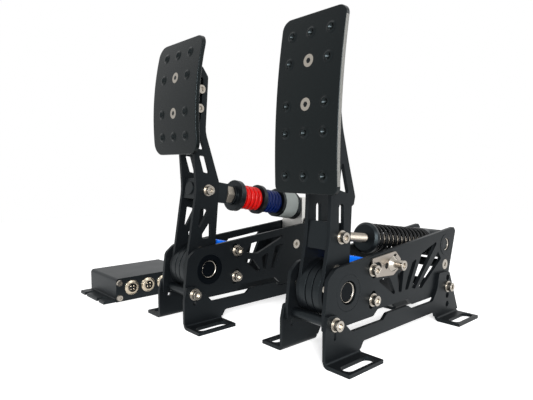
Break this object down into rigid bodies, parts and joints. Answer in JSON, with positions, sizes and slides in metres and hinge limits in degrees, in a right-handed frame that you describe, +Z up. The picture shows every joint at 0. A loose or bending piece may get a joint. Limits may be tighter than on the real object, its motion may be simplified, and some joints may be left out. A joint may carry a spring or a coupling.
{
  "type": "sim racing pedal set",
  "caption": "Sim racing pedals: a throttle module with coil spring, a load-cell brake module with stacked springs, and a separate control box with round sockets.",
  "frame": {"origin": "on the floor, below the middle of the whole set's outline", "axes": "+X to the driver's right, from control box to throttle; +Y away from the driver; +Z up"},
  "size_m": [0.4248, 0.3026, 0.3134],
  "materials": {
    "black_coat": "satin black powder coat",
    "pad_coat": "satin dark grey powder coat",
    "fastener": "stainless fasteners",
    "shaft_steel": "ground steel",
    "travel_steel": "brushed stainless sheet",
    "bush": "dark acetal bush",
    "blue_urethane": "bright blue polyurethane",
    "grey_elastomer": "light grey elastomer",
    "cell_alloy": "bead-blasted aluminium",
    "black_spring": "black coated spring steel",
    "red_spring": "glossy red spring paint",
    "blue_spring": "glossy navy spring paint",
    "box_coat": "dark grey textured coat",
    "end_plate": "black end plates",
    "socket_metal": "nickel-plated socket shells"
  },
  "bodies": {
    "frame": {"throttle_side_plate_left": "black_coat", "throttle_side_plate_right": "black_coat", "throttle_foot_left": "black_coat", "throttle_foot_right": "black_coat", "throttle_cross_tubes": "black_coat", "throttle_frame_screws": "fastener", "throttle_bearing_cups": "black_coat", "throttle_stop_bar": "black_coat", "throttle_stop_pad": "blue_urethane", "trunnion_bushes": "bush", "travel_plate": "travel_steel", "travel_screw": "fastener", "brake_side_plate_left": "black_coat", "brake_side_plate_right": "black_coat", "brake_foot_left": "black_coat", "brake_foot_right": "black_coat", "brake_cross_tubes": "black_coat", "brake_frame_screws": "fastener", "brake_bearing_cups": "black_coat", "brake_stop_bar": "black_coat", "brake_stop_pad": "blue_urethane", "load_cell": "cell_alloy", "load_cell_block": "black_coat", "load_cell_screws": "fastener", "brake_end_ring": "black_coat", "brake_elastomer": "grey_elastomer", "brake_rear_washer": "black_coat", "brake_blue_spring": "blue_spring", "box_shell": "box_coat", "box_end_plates": "end_plate", "box_connectors": "socket_metal", "box_screws": "fastener"},
    "throttle_pedal": {"throttle_pivot_shaft": "shaft_steel", "throttle_drum": "black_coat", "throttle_arm_left": "black_coat", "throttle_arm_right": "black_coat", "throttle_arm_screws": "fastener", "throttle_pad_mount": "black_coat", "throttle_pad": "pad_coat", "throttle_pad_screws": "fastener"},
    "throttle_rod": {"throttle_rod_block": "black_coat", "throttle_rod": "shaft_steel", "throttle_spring_cup": "black_coat"},
    "throttle_trunnion": {"throttle_spring": "black_spring", "throttle_trunnion": "black_coat"},
    "brake_pedal": {"brake_pivot_shaft": "shaft_steel", "brake_drum": "black_coat", "brake_arm_left": "black_coat", "brake_arm_right": "black_coat", "brake_arm_screws": "fastener", "brake_pad_mount": "black_coat", "brake_pad": "pad_coat", "brake_pad_screws": "fastener"},
    "brake_rod": {"brake_rod_block": "black_coat", "brake_rod": "shaft_steel", "brake_hex_nut": "fastener", "brake_preload_cup": "black_coat"},
    "brake_middle_washer": {"brake_red_spring": "red_spring", "brake_middle_washer": "black_coat"}
  },
  "joints": [
    {"name": "throttle_pedal_hinge", "type": "hinge", "parent": "frame", "child": "throttle_pedal", "pos_m": [0.15785, -0.0528, 0.0605], "axis": [-1, 0, 0], "range_deg": [0, 18], "stiffness_Nm_per_rad": 20, "springref_deg": -5.73, "deforming": ["throttle_spring"]},
    {"name": "throttle_rod_hinge", "type": "hinge", "parent": "throttle_pedal", "child": "throttle_rod", "pos_m": [0.15785, -0.053, 0.1108], "axis": [-1, 0, 0], "range_deg": [-18.5, 0.5]},
    {"name": "trunnion_hinge", "type": "hinge", "parent": "frame", "child": "throttle_trunnion", "pos_m": [0.15785, 0.1257, 0.0853], "axis": [-1, 0, 0], "range_deg": [-1, 1]},
    {"name": "brake_pedal_hinge", "type": "hinge", "parent": "frame", "child": "brake_pedal", "pos_m": [-0.00915, -0.0893, 0.0605], "axis": [-1, 0, 0], "range_deg": [0, 6], "stiffness_Nm_per_rad": 600, "springref_deg": -0.57, "deforming": ["brake_red_spring"]},
    {"name": "brake_rod_hinge", "type": "hinge", "parent": "brake_pedal", "child": "brake_rod", "pos_m": [-0.00915, -0.0844, 0.149], "axis": [-1, 0, 0], "range_deg": [-6, 0.3]},
    {"name": "brake_washer_slide", "type": "slide", "parent": "frame", "child": "brake_middle_washer", "axis": [0, 0.9848, -0.1736], "range_m": [-0.0001, 0.0048], "deforming": ["brake_blue_spring"]}
  ],
  "couplings": [
    {"joint": "throttle_rod_hinge", "follows": "throttle_pedal_hinge", "ratio": -1},
    {"joint": "brake_rod_hinge", "follows": "brake_pedal_hinge", "ratio": -0.962},
    {"joint": "brake_washer_slide", "follows": "brake_pedal_hinge", "m_per_rad": 0.0439}
  ]
}
